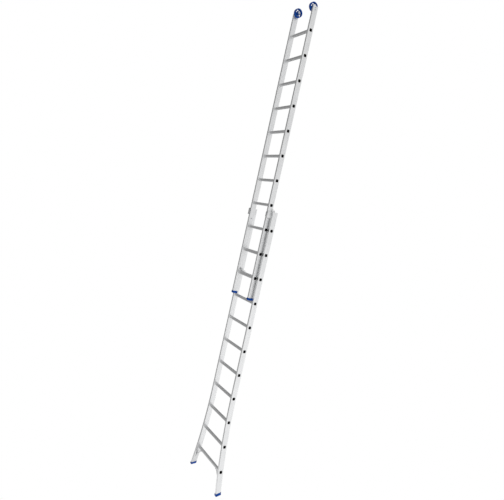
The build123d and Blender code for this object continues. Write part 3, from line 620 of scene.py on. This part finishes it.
def hex_rings(thickness, corner, crown):
    """Rings of a hexagonal head from its seat to its chamfered crown."""
    chamfer = corner * 0.16
    return [
        turned_ring(0, hexagon(corner, corner * 0.90)),
        turned_ring(chamfer * 0.4, hexagon(corner, corner)),
        turned_ring(thickness - chamfer, hexagon(corner, corner)),
        turned_ring(thickness - chamfer * 0.45, hexagon(corner, corner * 0.955)),
        turned_ring(thickness, hexagon(corner, corner * 0.88)),
        *crown,
    ]


def nut_template(thickness, corner, bore):
    """Nut with chamfered corners and a countersunk bore."""
    sink = 0.12 * bore
    mouth = 1.15 * bore
    rings = hex_rings(thickness, corner, [turned_ring(thickness, mouth)])
    rings += [turned_ring(thickness - sink, bore), turned_ring(sink, bore), turned_ring(0, mouth)]
    return template(rings, closed=True)


def thread_rings(x_from, x_to, radius):
    """Rings of a screw thread, with a chamfered tip at x_to."""
    rings = []
    steps = max(4, round((x_to - x_from) / (THREAD_PITCH / THREAD_RINGS)))
    for step in range(steps + 1):
        x = x_from + (x_to - x_from) * step / steps
        tip = max(0.0, 1 - (x_to - x) / THREAD_TIP)

        def reach(angle, x=x, tip=tip):
            turn = (x / THREAD_PITCH - angle / (2 * math.pi)) % 1.0
            ridge = 1 - abs(2 * turn - 1)
            depth = THREAD_DEPTH * max(1 - THREAD_CREST * ridge, 0)
            return radius - max(depth, tip * THREAD_TIP_DEPTH)

        rings.append(turned_ring(x, reach))
    return rings


def domed_head(thickness, corner):
    """Rings of a low domed head with a dimple, from its top down to its seat at 0."""
    profile = (
        (0.55, 0),
        (0.55, 0.30),
        (1, 0.36),
        (1, 0.55),
        (0.86, 0.78),
        (0.55, 0.94),
        (0.15, 1),
        (0, 0.985),
    )
    return [turned_ring(-thickness * height, corner * reach) for height, reach in profile]


def bolt_template(grip, head_thickness, head_corner, domed):
    """Bolt along X from its seat at 0 to its tip at grip, with its head behind the seat."""
    if domed:
        head = domed_head(head_thickness, head_corner)
    else:
        head = flipped(hex_rings(head_thickness, head_corner, [turned_ring(head_thickness, 0)]))
    plain_end = grip - THREAD_SHOWN
    shank = [turned_ring(0, SHANK_RADIUS), turned_ring(plain_end, SHANK_RADIUS)]
    threads = thread_rings(plain_end + THREAD_RELIEF, grip, SHANK_RADIUS)
    return template([*head, *shank, *threads])


def rivet_template(grip):
    """Blind rivet: a domed head with the pulled mandrel's hole, a shank and a set tail."""
    head = (
        (0.45, 0),
        (0.45, 0.22),
        (0.98, 0.28),
        (1, 0.42),
        (0.86, 0.70),
        (0.52, 0.92),
        (0.12, 1),
        (0, 0.98),
    )
    tail = ((0.25, 1), (0.75, 0.96), (1, 0.6), (1, 0))
    profile = [(-RIVET_HEAD_THICKNESS * height, RIVET_HEAD_RADIUS * reach) for height, reach in head]
    profile += [(0, RIVET_RADIUS), (grip, RIVET_RADIUS)]
    profile += [
        (grip + RIVET_TAIL_LENGTH * height, RIVET_TAIL_RADIUS * reach) for height, reach in tail
    ]
    return template([turned_ring(x, reach) for x, reach in profile])


def sided(low, high):
    """Side of the ladder a box is on, its middle, and its inner and outer X."""
    middle = (low + high) / 2
    if middle.x > 0:
        return 1, middle, low.x, high.x
    return -1, middle, high.x, low.x


def make_nuts(name, corner, bore):
    """Chamfered nuts where a CAD node has plain ones."""
    bm = bmesh.new()
    for low, high in solid_boxes(name):
        side, middle, inner_x, _ = sided(low, high)
        mesh = nut_template(high.x - low.x, corner, bore)
        stamp(bm, mesh, along_x(side, inner_x, middle.y, middle.z))
    piece(f"{name}_finished", bm, "upper_section", "zinc_steel", [name])


def make_bolts(name, head_thickness, domed, head_inside):
    """Bolts with shaped heads and threads where a CAD node has plain ones."""
    bm = bmesh.new()
    for low, high in solid_boxes(name):
        side, middle, inner_x, outer_x = sided(low, high)
        grip = high.x - low.x - head_thickness
        mesh = bolt_template(grip, head_thickness, (high.y - low.y) / 2, domed)
        if head_inside:
            place = along_x(side, inner_x + side * head_thickness, middle.y, middle.z)
        else:
            place = along_x(-side, outer_x - side * head_thickness, middle.y, middle.z)
        stamp(bm, mesh, place)
    piece(f"{name}_finished", bm, "upper_section", "zinc_steel", [name])


def make_rivets(name):
    """Domed blind rivets, along X or Z, where a CAD node has plain ones."""
    bm = bmesh.new()
    for low, high in solid_boxes(name):
        side, middle, inner_x, _ = sided(low, high)
        upright = high.z - low.z > high.x - low.x
        span = high.z - low.z if upright else high.x - low.x
        mesh = rivet_template(span - RIVET_HEAD_THICKNESS - RIVET_TAIL_LENGTH)
        if upright:
            turn = Matrix.Rotation(-math.pi / 2, 4, "Y")
            seat = Vector((middle.x, middle.y, low.z + RIVET_HEAD_THICKNESS))
            place = Matrix.Translation(seat) @ turn
        else:
            place = along_x(side, inner_x + side * RIVET_HEAD_THICKNESS, middle.y, middle.z)
        stamp(bm, mesh, place)
    piece(f"{name}_finished", bm, "lower_section", "rivet_aluminium", [name])


def make_hook_bolts():
    """Shoulder bolts with a socketed head, a plain bearing, a flange and a threaded end."""
    bm = bmesh.new()
    flange_x = PIVOT_HEAD + PIVOT_BEARING
    for low, high in solid_boxes("hook_bolts"):
        side, middle, inner_x, outer_x = sided(low, high)
        length = abs(outer_x - inner_x)
        plain_end = length - THREAD_SHOWN
        profile = [
            (PIVOT_HEAD * 0.55, 0),
            (PIVOT_HEAD * 0.55, hexagon(PIVOT_SOCKET, PIVOT_SOCKET)),
            (PIVOT_HEAD * 0.05, hexagon(PIVOT_SOCKET, PIVOT_SOCKET)),
            (0, PIVOT_SOCKET * 1.15),
            (0, PIVOT_FLANGE_RADIUS * 0.72),
            (PIVOT_HEAD * 0.05, PIVOT_FLANGE_RADIUS * 0.90),
            (PIVOT_HEAD * 0.15, PIVOT_FLANGE_RADIUS),
            (PIVOT_HEAD * 0.5, PIVOT_FLANGE_RADIUS),
            (PIVOT_HEAD - PIVOT_HEAD_EASE, PIVOT_FLANGE_RADIUS),
            (PIVOT_HEAD, PIVOT_FLANGE_RADIUS - PIVOT_HEAD_EASE),
            (PIVOT_HEAD, PIVOT_RADIUS),
            (flange_x, PIVOT_RADIUS),
            (flange_x, PIVOT_FLANGE_RADIUS - PIVOT_FLANGE_EASE),
            (flange_x + PIVOT_FLANGE_EASE, PIVOT_FLANGE_RADIUS),
            (PIVOT_SEAT, PIVOT_FLANGE_RADIUS),
            (PIVOT_SEAT, SHANK_RADIUS),
            (plain_end, SHANK_RADIUS),
        ]
        rings = [turned_ring(x, radius) for x, radius in profile]
        rings += thread_rings(plain_end + THREAD_RELIEF, length, SHANK_RADIUS)
        stamp(bm, template(rings), along_x(side, inner_x, middle.y, middle.z))
    piece("hook_bolts_finished", bm, "upper_section", "zinc_steel", ["hook_bolts"])


def make_axle(label):
    """Wheel axle: a threaded inner end, a bearing, a thrust collar and an end riveted over."""
    name = f"axle_{label}"
    side, middle, inner_x, outer_x = sided(*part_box(name))
    length = abs(outer_x - inner_x)
    bearing_x = AXLE_THREAD + 0.2 * MM
    riveted_x = length - AXLE_RIVETED
    collar_x = riveted_x - AXLE_COLLAR
    rings = flipped(thread_rings(-AXLE_THREAD, 0, AXLE_THREAD_RADIUS))
    profile = [
        (bearing_x, AXLE_THREAD_RADIUS),
        (bearing_x, AXLE_RADIUS - AXLE_EASE),
        (bearing_x + AXLE_EASE, AXLE_RADIUS),
        (collar_x, AXLE_RADIUS),
        (collar_x, AXLE_COLLAR_RADIUS - AXLE_EASE),
        (collar_x + AXLE_EASE, AXLE_COLLAR_RADIUS),
        (riveted_x - AXLE_EASE, AXLE_COLLAR_RADIUS),
        (riveted_x, AXLE_COLLAR_RADIUS - AXLE_EASE),
        (riveted_x, AXLE_RADIUS),
        (length, AXLE_RADIUS),
        (length, 0),
    ]
    rings += [turned_ring(x, radius) for x, radius in profile]
    bm = bmesh.new()
    stamp(bm, template(rings), along_x(side, inner_x, middle.y, middle.z))
    piece(f"{name}_finished", bm, "upper_section", "zinc_steel", [name])


# ---------------------------------------------------------------- moulded fittings


def rounded_outline(half_wide, half_deep, corner, spacing):
    """Points round a rounded rectangle, evenly spaced, each with its outward direction."""
    points = []
    quarters = (
        (half_wide - corner, half_deep - corner, 0),
        (corner - half_wide, half_deep - corner, 90),
        (corner - half_wide, corner - half_deep, 180),
        (half_wide - corner, corner - half_deep, 270),
    )
    for index, (wide, deep, start) in enumerate(quarters):
        for step in range(CORNER_STEPS + 1):
            angle = math.radians(start + 90 * step / CORNER_STEPS)
            out = Vector((math.cos(angle), math.sin(angle)))
            points.append((Vector((wide, deep)) + corner * out, out))
        next_wide, next_deep, _ = quarters[(index + 1) % 4]
        end = Vector((wide, deep)) + corner * out
        run = Vector((next_wide, next_deep)) - Vector((wide, deep))
        steps = max(1, round(run.length / spacing))
        points += [(end + run * (step / steps), out) for step in range(1, steps)]
    return points


def ribbed_levels(outline, levels, rib_pitch, rib_depth):
    """Outlines at each level; a level is (height, inset, share of the rib depth cut in)."""
    rings = []
    for height, inset, cut in levels:
        ring = []
        for point, out in outline:
            along = point.x if abs(out.y) > 0.99 else point.y
            flat = max(abs(out.x), abs(out.y)) > 0.99
            groove = 0.5 - 0.5 * math.cos(2 * math.pi * along / rib_pitch)
            depth = rib_depth * cut * (groove**2 if flat else 0)
            ring.append((point - out * (inset + depth), height))
        rings.append(ring)
    return rings


def ribbed_band(low, high):
    """Levels of a band of ribs that fade out at both ends."""
    return [(low, 0, 0), (low + RIB_FADE, 0, 1), (high - RIB_FADE, 0, 1), (high, 0, 0)]


def eased_rim(height):
    """Levels of a moulding's rounded upper rim."""
    return [(height - 1.2 * MM, 0, 0), (height - 0.4 * MM, 0.3 * MM, 0), (height, 1.1 * MM, 0)]


def wall_x(x, z):
    """Distance from the middle plane, at height z, of a stile line that is x out above the flare."""
    drop = max(FLARE_TOP_Z - z, 0)
    return FLARE_RADIUS + LOWER_OUTER_X - math.sqrt((FLARE_RADIUS + LOWER_OUTER_X - x) ** 2 - drop**2)


def bottom_rise(deep, half_deep, tilt, toe, heel):
    """Height of a moulding's rounded bottom above the straight line between its rounded ends."""
    line = (deep + half_deep) * math.tan(tilt)
    toe_middle = toe - half_deep
    heel_middle = half_deep - heel
    if deep < toe_middle + toe * math.sin(tilt):
        middle_z = toe * (math.tan(tilt) + 1 / math.cos(tilt))
        return middle_z - math.sqrt(max(toe**2 - (deep - toe_middle) ** 2, 0)) - line
    if deep > heel_middle + heel * math.sin(tilt):
        middle_z = (heel_middle + half_deep) * math.tan(tilt) + heel / math.cos(tilt)
        return middle_z - math.sqrt(max(heel**2 - (deep - heel_middle) ** 2, 0)) - line
    return 0.0


def make_foot(label):
    """Ribbed shoe with a sloping, rounded sole and tread bars, following a lower stile's flare."""
    name = f"foot_{label}"
    side = SIDES[label]
    low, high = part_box(name)
    middle_y = (low.y + high.y) / 2
    half_deep = (high.y - low.y) / 2
    half_wide = (STILE_WIDTH + 2 * FOOT_WALL) / 2
    stile_x = LOWER_OUTER_X - STILE_WIDTH / 2
    slope = math.tan(LEAN_ANGLE)
    toe_drop = TOE_RADIUS * (slope + 1 / math.cos(LEAN_ANGLE) - 1)

    def place(across, deep, height):
        rise = bottom_rise(deep, half_deep, LEAN_ANGLE, TOE_RADIUS, HEEL_RADIUS)
        z = low.z - toe_drop + (deep + half_deep) * slope + rise + height * (1 - rise / FOOT_HEIGHT)
        return Vector((side * wall_x(stile_x + side * across, z), middle_y + deep, z))

    outline = rounded_outline(half_wide, half_deep, FOOT_CORNER, RIB_SAMPLE)
    inner = FOOT_WALL - 0.05 * MM
    levels = [(TREAD_DEPTH, inset * MM, 0) for inset in (15.2, 12, 8, 5, 3, 1.4)]
    levels += [
        (TREAD_DEPTH + 0.4 * MM, 0.5 * MM, 0),
        (TREAD_DEPTH + 1.3 * MM, 0, 0),
        *ribbed_band(*FOOT_RIBS),
        *eased_rim(FOOT_HEIGHT),
        (FOOT_HEIGHT, inner - 0.5 * MM, 0),
        (FOOT_HEIGHT - 0.6 * MM, inner, 0),
        (FOOT_HEIGHT - 5.0 * MM, inner, 0),
    ]
    bm = bmesh.new()
    rings = ribbed_levels(outline, levels, RIB_PITCH, RIB_DEPTH)
    skin(bm, [[place(point.x, point.y, height) for point, height in ring] for ring in rings])
    for index in range(TREAD_BARS):
        start = (index - TREAD_BARS / 2) * TREAD_PITCH + TREAD_GROOVE / 2
        end = start + TREAD_PITCH - TREAD_GROOVE
        start = TREAD_END - half_deep if index == 0 else start
        end = half_deep - TREAD_END if index == TREAD_BARS - 1 else end
        skin(bm, tread_bar(place, start, end, half_wide - TREAD_END))
    piece(f"{name}_moulded", bm, "lower_section", "blue_plastic", [name])


def tread_bar(place, start, end, half_wide):
    """Cross-sections of one tread bar with eased edges, from its front to its rear."""
    sections = []
    for step in range(TREAD_STEPS + 1):
        deep = start + (end - start) * step / TREAD_STEPS
        ease = 0.6 * MM if step in (0, TREAD_STEPS) else 0.1 * MM
        inset = 0.5 * MM
        top = TREAD_DEPTH + 0.4 * MM
        profile = (
            (-half_wide, top),
            (-half_wide, ease + inset),
            (inset - half_wide, ease),
            (half_wide - inset, ease),
            (half_wide, ease + inset),
            (half_wide, top),
        )
        sections.append([place(across, deep, height) for across, height in profile])
    return sections


def make_end_cap(label):
    """Ribbed cap with a rounded bottom, open at the top for the upper stile."""
    name = f"end_cap_{label}"
    low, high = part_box(name)
    middle = (low + high) / 2
    half_wide = (high.x - low.x) / 2
    half_deep = (high.y - low.y) / 2
    outline = rounded_outline(half_wide, half_deep, CAP_CORNER, RIB_SAMPLE)

    def place(point, height):
        rise = bottom_rise(point.y, half_deep, 0, CAP_FRONT_RADIUS, CAP_REAR_RADIUS)
        z = low.z + rise + height * (1 - rise / CAP_HEIGHT)
        return Vector((middle.x + point.x, middle.y + point.y, z))

    levels = [(0, inset * MM, 0) for inset in (16, 12, 8, 5)]
    levels += [
        (0.25 * MM, 2.6 * MM, 0),
        (1.0 * MM, 1.2 * MM, 0),
        (2.3 * MM, 0.3 * MM, 0),
        (3.6 * MM, 0, 0),
        *ribbed_band(*CAP_RIBS),
        *eased_rim(CAP_HEIGHT),
    ]
    bm = bmesh.new()
    ribbed = ribbed_levels(outline, levels, RIB_PITCH, RIB_DEPTH)
    rings = [[place(point, height) for point, height in ring] for ring in ribbed]
    stile_low, stile_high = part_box(f"upper_stile_{label}")
    stile_middle = (stile_low + stile_high) / 2
    pocket = rounded_outline(STILE_WIDTH / 2, STILE_DEPTH / 2, STILE_CORNER, RIB_SAMPLE)
    mouth = [stile_middle.xy + point for point, _ in pocket]
    for height in (CAP_HEIGHT, CAP_SOLE):
        rings.append([Vector((*point, low.z + height)) for point in matched(rings[-1], mouth)])
    skin(bm, rings)
    piece(f"{name}_moulded", bm, "upper_section", "blue_plastic", [name])


def matched(ring, outline):
    """For each point of a ring, the nearest point of an outline, so that both have as many points."""
    return [min(outline, key=lambda point: (point - place.xy).length) for place in ring]


def make_rung_plugs(name, body):
    """Flanged plugs with a rounded rim and a shallow panel, sloped like the stile they sit on."""
    bm = bmesh.new()
    for low, high in solid_boxes(name):
        side, middle, _, outer_x = sided(low, high)
        drop = max(FLARE_TOP_Z - middle.z, 0)
        slope = drop / math.sqrt(FLARE_RADIUS**2 - drop**2)
        face_x = abs(outer_x) - slope * PLUG_HALF
        rings = []
        for depth, half, corner in PLUG_SECTIONS:
            outline = rounded_outline(half * MM, half * MM, corner * MM, 2 * half * MM)
            ring = []
            for point, _ in outline:
                x = face_x + depth * MM - slope * point.y
                ring.append(Vector((side * x, middle.y + point.x, middle.z + point.y)))
            rings.append(ring)
        skin(bm, rings)
    piece(f"{name}_moulded", bm, body, "black_plastic", [name])


def mirrored(profile):
    """Profile that goes on from its last point to its own mirror image in X, and is closed."""
    return [*profile, *((-x, reach) for x, reach in reversed(profile) if x > 0)]


def rim_profile(half, radius):
    """Section of a wheel's rim: crowned tread with two grooves, rounded shoulders, eased inside."""
    rim = radius - WHEEL_RIM
    lip = radius - 0.1 * MM
    edge = radius - WHEEL_CROWN
    floor = radius - WHEEL_GROOVE_DEPTH
    groove = ((-1, lip), (-0.6, edge), (-0.4, floor), (0.4, floor), (0.6, edge), (1, lip))
    profile = [(0, radius)]
    profile += [(WHEEL_GROOVE_X + WHEEL_GROOVE * offset, reach) for offset, reach in groove]
    for step in range(WHEEL_SHOULDER_STEPS, 0, -1):
        turn = math.pi / 2 * step / WHEEL_SHOULDER_STEPS
        x = half - WHEEL_SHOULDER * (1 - math.cos(turn))
        profile.append((x, radius - WHEEL_SHOULDER * (1 - math.sin(turn)) - WHEEL_CROWN))
    profile += [
        (half, radius - WHEEL_SHOULDER),
        (half, rim + 1.5 * MM),
        (half - 0.5 * MM, rim + 0.4 * MM),
        (half - 1.5 * MM, rim),
        (WHEEL_WEB / 2 + 1 * MM, rim - 0.6 * MM),
        (0, rim - 1.2 * MM),
    ]
    return mirrored(profile)


def hub_profile(half, bore):
    """Section of a wheel's hub, with a raised ring at each end."""
    hub = WHEEL_HUB_RADIUS
    profile = [
        (half - 1.5 * MM, hub),
        (half - 0.7 * MM, hub - 0.8 * MM),
        (half - 0.7 * MM, hub - 1.8 * MM),
        (half, hub - 2.4 * MM),
        (half, bore),
    ]
    return mirrored(profile)


def spoke_rings(angle, rim):
    """Outlines of a spoke from the hub to the rim, widened at both ends."""
    rings = []
    start = WHEEL_HUB_RADIUS - SPOKE_ROOT
    for step in range(SPOKE_STEPS + 1):
        share = step / SPOKE_STEPS
        reach = start + share * (rim + SPOKE_TIP - start)
        flare = SPOKE_FLARE * (2 * share - 1) ** 4
        wide = SPOKE_WIDTH / 2 + flare
        thick = WHEEL_WEB / 2 - 1.0 * MM + flare
        ring = []
        for point, _ in rounded_outline(thick, wide, SPOKE_CORNER, 2 * thick):
            y = reach * math.cos(angle) - point.y * math.sin(angle)
            z = reach * math.sin(angle) + point.y * math.cos(angle)
            ring.append(Vector((point.x, y, z)))
        rings.append(ring)
    return rings


def make_wheel(label):
    """Moulded wheel: a rim and a hub, joined by tapered spokes."""
    name = f"wheel_{label}"
    low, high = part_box(name)
    bush_low, bush_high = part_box(f"wheel_bush_{label}")
    radius = (high.y - low.y) / 2
    half = (high.x - low.x) / 2
    bore = (bush_high.y - bush_low.y) / 2
    bm = bmesh.new()
    for profile in (rim_profile(half, radius), hub_profile(half, bore)):
        skin(bm, [turned_ring(x, reach, WHEEL_STEPS) for x, reach in profile], closed=True)
    for index in range(SPOKE_COUNT):
        angle = math.radians(90 + 360 * index / SPOKE_COUNT)
        skin(bm, spoke_rings(angle, radius - WHEEL_RIM))
    bmesh.ops.translate(bm, verts=bm.verts, vec=(low + high) / 2)
    piece(f"{name}_moulded", bm, name, "blue_plastic", [name])


# ---------------------------------------------------------------- camera and studio


def make_camera():
    """Camera at the reference view's place, turned by yaw, pitch and roll."""
    data = bpy.data.cameras.new("camera")
    data.sensor_width = CAMERA_SENSOR
    data.lens = CAMERA_LENS
    data.clip_start, data.clip_end = CAMERA_CLIP
    forward = Vector(
        (
            -math.sin(CAMERA_YAW) * math.cos(CAMERA_PITCH),
            math.cos(CAMERA_YAW) * math.cos(CAMERA_PITCH),
            math.sin(CAMERA_PITCH),
        )
    )
    right = Vector((math.cos(CAMERA_YAW), math.sin(CAMERA_YAW), 0))
    up = right.cross(forward)
    rolled_right = right * math.cos(CAMERA_ROLL) + up * math.sin(CAMERA_ROLL)
    rolled_up = up * math.cos(CAMERA_ROLL) - right * math.sin(CAMERA_ROLL)
    turn = Matrix((rolled_right, rolled_up, -forward)).transposed()
    camera = bpy.data.objects.new("camera", data)
    camera.matrix_world = Matrix.Translation(CAMERA_PLACE) @ turn.to_4x4()
    bpy.context.scene.collection.objects.link(camera)
    bpy.context.scene.camera = camera


def sided_light(tree, direction, spread, dark, bright):
    """Light that is stronger towards BRIGHT_SIDE, behind a plain white backdrop."""
    toward = node(tree, "ShaderNodeVectorMath", {0: direction, 1: BRIGHT_SIDE}, operation="DOT_PRODUCT")
    level = remap(tree, toward.outputs["Value"], *spread, dark, bright)
    lighting = node(tree, "ShaderNodeEmission", {"Color": level})
    backdrop = node(tree, "ShaderNodeEmission", {"Color": (1, 1, 1, 1)})
    seen = node(tree, "ShaderNodeLightPath")
    both = node(
        tree,
        "ShaderNodeMixShader",
        {0: seen.outputs["Is Camera Ray"], 1: lighting.outputs[0], 2: backdrop.outputs[0]},
    )
    return both.outputs[0]


def make_floor():
    """Pale floor that runs out to the horizon; it glows, and its glow, stronger towards BRIGHT_SIDE,
    lights the ladder and shows in its reflections, while camera rays see plain white.
    """
    bm = bmesh.new()
    bmesh.ops.create_circle(bm, cap_ends=True, radius=FLOOR_RADIUS, segments=FLOOR_SIDES)
    mesh = bpy.data.meshes.new("floor")
    bm.to_mesh(mesh)
    bm.free()
    material = bpy.data.materials.new("floor_glow")
    material.use_nodes = True
    tree = material.node_tree
    tree.nodes.clear()
    place = node(tree, "ShaderNodeTexCoord")
    glow = sided_light(tree, place.outputs["Object"], FLOOR_SPREAD, FLOOR_DARK, FLOOR_BRIGHT)
    output = node(tree, "ShaderNodeOutputMaterial")
    tree.links.new(glow, output.inputs["Surface"])
    mesh.materials.append(material)
    floor = bpy.data.objects.new("floor", mesh)
    floor.location.z = cad_box[0].z - FLOOR_DROP
    bpy.context.scene.collection.objects.link(floor)


def make_dome():
    """White surroundings that light the ladder more from one side."""
    world = bpy.data.worlds.new("studio")
    world.use_nodes = True
    tree = world.node_tree
    tree.nodes.clear()
    place = node(tree, "ShaderNodeTexCoord")
    glow = sided_light(tree, place.outputs["Generated"], DOME_SPREAD, DOME_DARK, DOME_BRIGHT)
    output = node(tree, "ShaderNodeOutputWorld")
    tree.links.new(glow, output.inputs["Surface"])
    bpy.context.scene.world = world


def make_overhead():
    """Broad overhead light."""
    data = bpy.data.lights.new("overhead", "SUN")
    data.energy = OVERHEAD_STRENGTH
    data.angle = OVERHEAD_SPREAD
    light = bpy.data.objects.new("overhead", data)
    light.rotation_euler = OVERHEAD_TILT
    bpy.context.scene.collection.objects.link(light)


# ---------------------------------------------------------------- build

EDGE_WIDTHS = {
    "brace": 0.8 * MM,
    "guide_bracket": 0.8 * MM,
    "guide_pad": 0.6 * MM,
    "hook": 1.2 * MM,
    "wheel_bracket": 0.8 * MM,
    "wheel_bush": 0.5 * MM,
}
ROUNDED = {f"{stem}_{label}": width for stem, width in EDGE_WIDTHS.items() for label in SIDES}
ROUNDED["axle_washers"] = 0.4 * MM

smooth_faces = smooth_shading()
for part in frame["record"]["subparts"]:
    cad_object = frame["nodes"][part["node"]]
    cad_object.data.materials.clear()
    cad_object.data.materials.append(FINISHES[part["material_slot"]])
    if part["node"] in ROUNDED:
        round_edges(cad_object, ROUNDED[part["node"]], smooth_faces)

for stem in ("wheel_bracket", "hook", "stop"):
    make_nuts(f"{stem}_nuts", NUT_CORNER, SHANK_RADIUS)
make_nuts("axle_nuts", AXLE_NUT_CORNER, AXLE_THREAD_RADIUS)
make_bolts("wheel_bracket_bolts", LOW_HEAD, True, True)
make_bolts("stop_bolts", HEX_HEAD, False, False)
make_hook_bolts()
make_rivets("guide_rivets")
make_rivets("brace_rivets")
for label in SIDES:
    make_axle(label)
    make_wheel(label)
    make_foot(label)
    make_end_cap(label)
make_rung_plugs("lower_rung_plugs", "lower_section")
make_rung_plugs("upper_rung_plugs", "upper_section")

make_camera()
make_floor()
make_dome()
make_overhead()
bpy.context.scene.view_settings.view_transform = "Standard"
